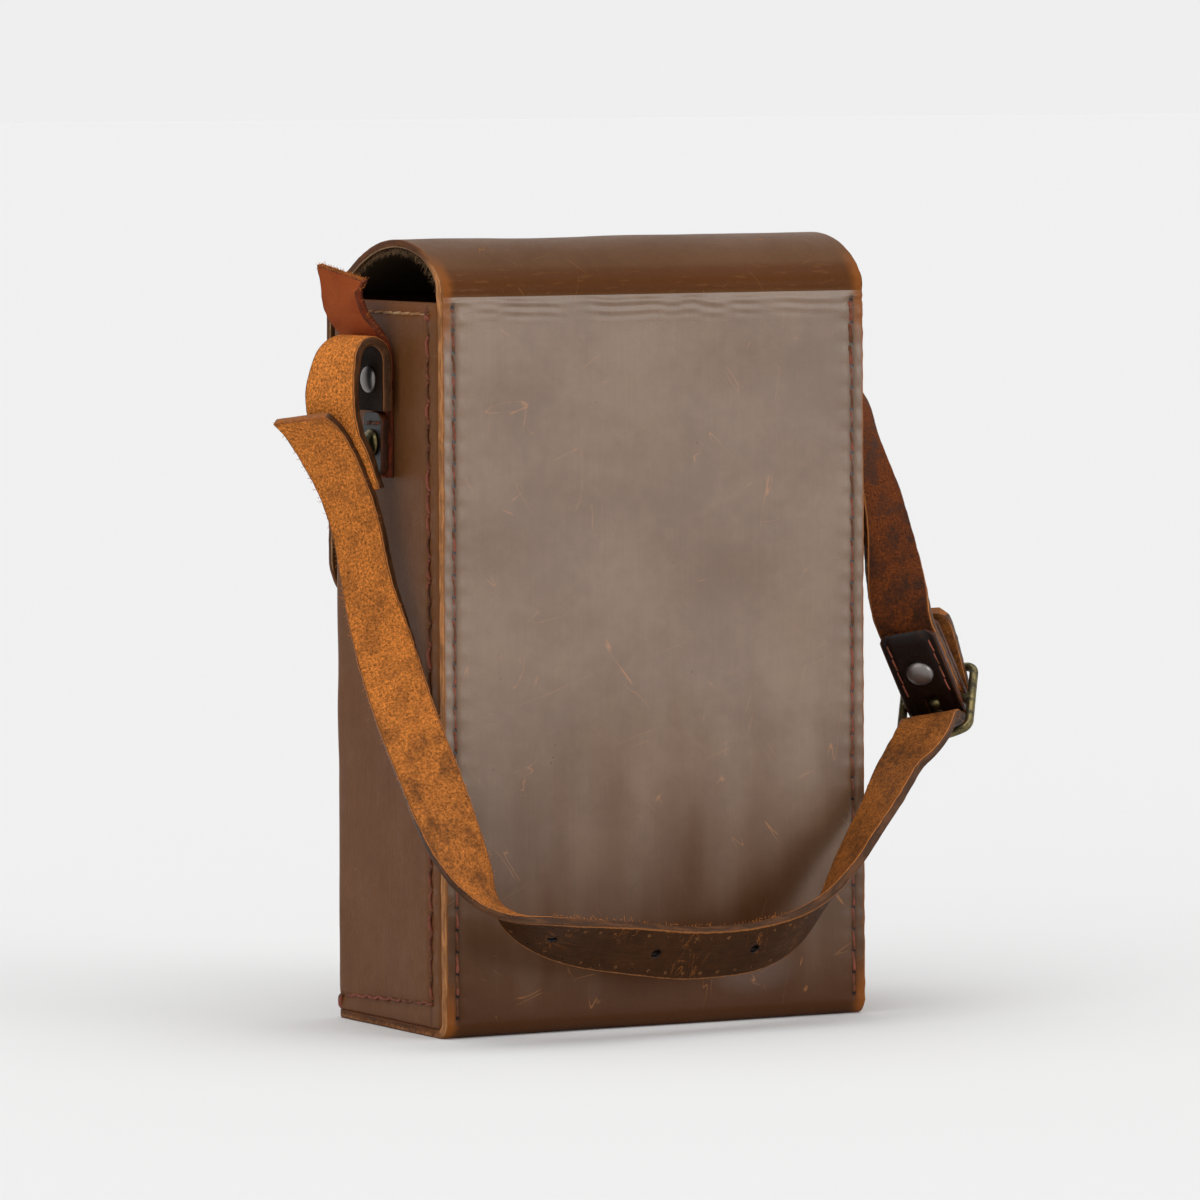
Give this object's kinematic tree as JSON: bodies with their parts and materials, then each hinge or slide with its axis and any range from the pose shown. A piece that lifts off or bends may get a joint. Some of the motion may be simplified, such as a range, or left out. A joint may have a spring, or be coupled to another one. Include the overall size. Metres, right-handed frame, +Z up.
{
  "type": "leather camera case",
  "caption": "Upright leather case with a hinged domed lid closed by a press stud, and a carrying strap with a buckle that swings on loops at its ends.",
  "frame": {"origin": "middle of the flat base, at the surface the case stands on", "axes": "+Z up, +X along the width towards the buckle end, -Y out of the plain back that the strap hangs over"},
  "size_m": [0.1736, 0.0915, 0.19],
  "materials": {
    "leather_body": "worn grey-brown grain, semi-gloss",
    "leather_side": "smooth brown grain, semi-gloss",
    "leather_strap": "tan suede flesh side, dark grain side",
    "leather_dark": "dark polished leather",
    "leather_red": "rough red-brown split leather",
    "suede_lining": "dark napped lining",
    "antique_brass": "dull aged brass",
    "gunmetal": "dark polished rivet heads"
  },
  "bodies": {
    "case": {"wrap": "leather_body", "body_band": "leather_side", "body_lining": "suede_lining", "side_lining_left": "suede_lining", "side_lining_right": "suede_lining", "snap_stud": "antique_brass", "snap_burr": "antique_brass", "stump_left": "leather_red", "hanger_left": "leather_strap", "hanger_right": "leather_strap", "lug_left": "leather_dark", "lug_right": "leather_dark", "side_rivets_left": "gunmetal", "side_rivets_right": "gunmetal", "side_washers": "gunmetal"},
    "lid": {"lid": "leather_body", "lid_lining": "suede_lining", "snap_socket": "antique_brass", "snap_cap": "antique_brass"},
    "strap": {"loop_leg_left": "leather_strap", "long_strap": "leather_strap", "short_strap": "leather_strap", "buckle_chape": "leather_dark", "chape_rivet": "gunmetal"},
    "frame": {"buckle_frame": "antique_brass"},
    "prong": {"buckle_prong": "antique_brass"}
  },
  "joints": [
    {"name": "lid_hinge", "type": "hinge", "parent": "case", "child": "lid", "pos_m": [0, -0.0295, 0.1765], "axis": [1, 0, 0], "range_deg": [0, 120]},
    {"name": "strap_swing", "type": "hinge", "parent": "case", "child": "strap", "pos_m": [0, -0.0007, 0.165], "axis": [-1, 0, 0], "range_deg": [0, 290]},
    {"name": "frame_pivot", "type": "hinge", "parent": "strap", "child": "frame", "pos_m": [0.0813, -0.024, 0.0748], "axis": [0.6575, -0.7326, 0.1761], "range_deg": [-3, 3]},
    {"name": "prong_pivot", "type": "hinge", "parent": "frame", "child": "prong", "pos_m": [0.0813, -0.024, 0.0748], "axis": [-0.6575, 0.7326, -0.1761], "range_deg": [0, 3]}
  ]
}
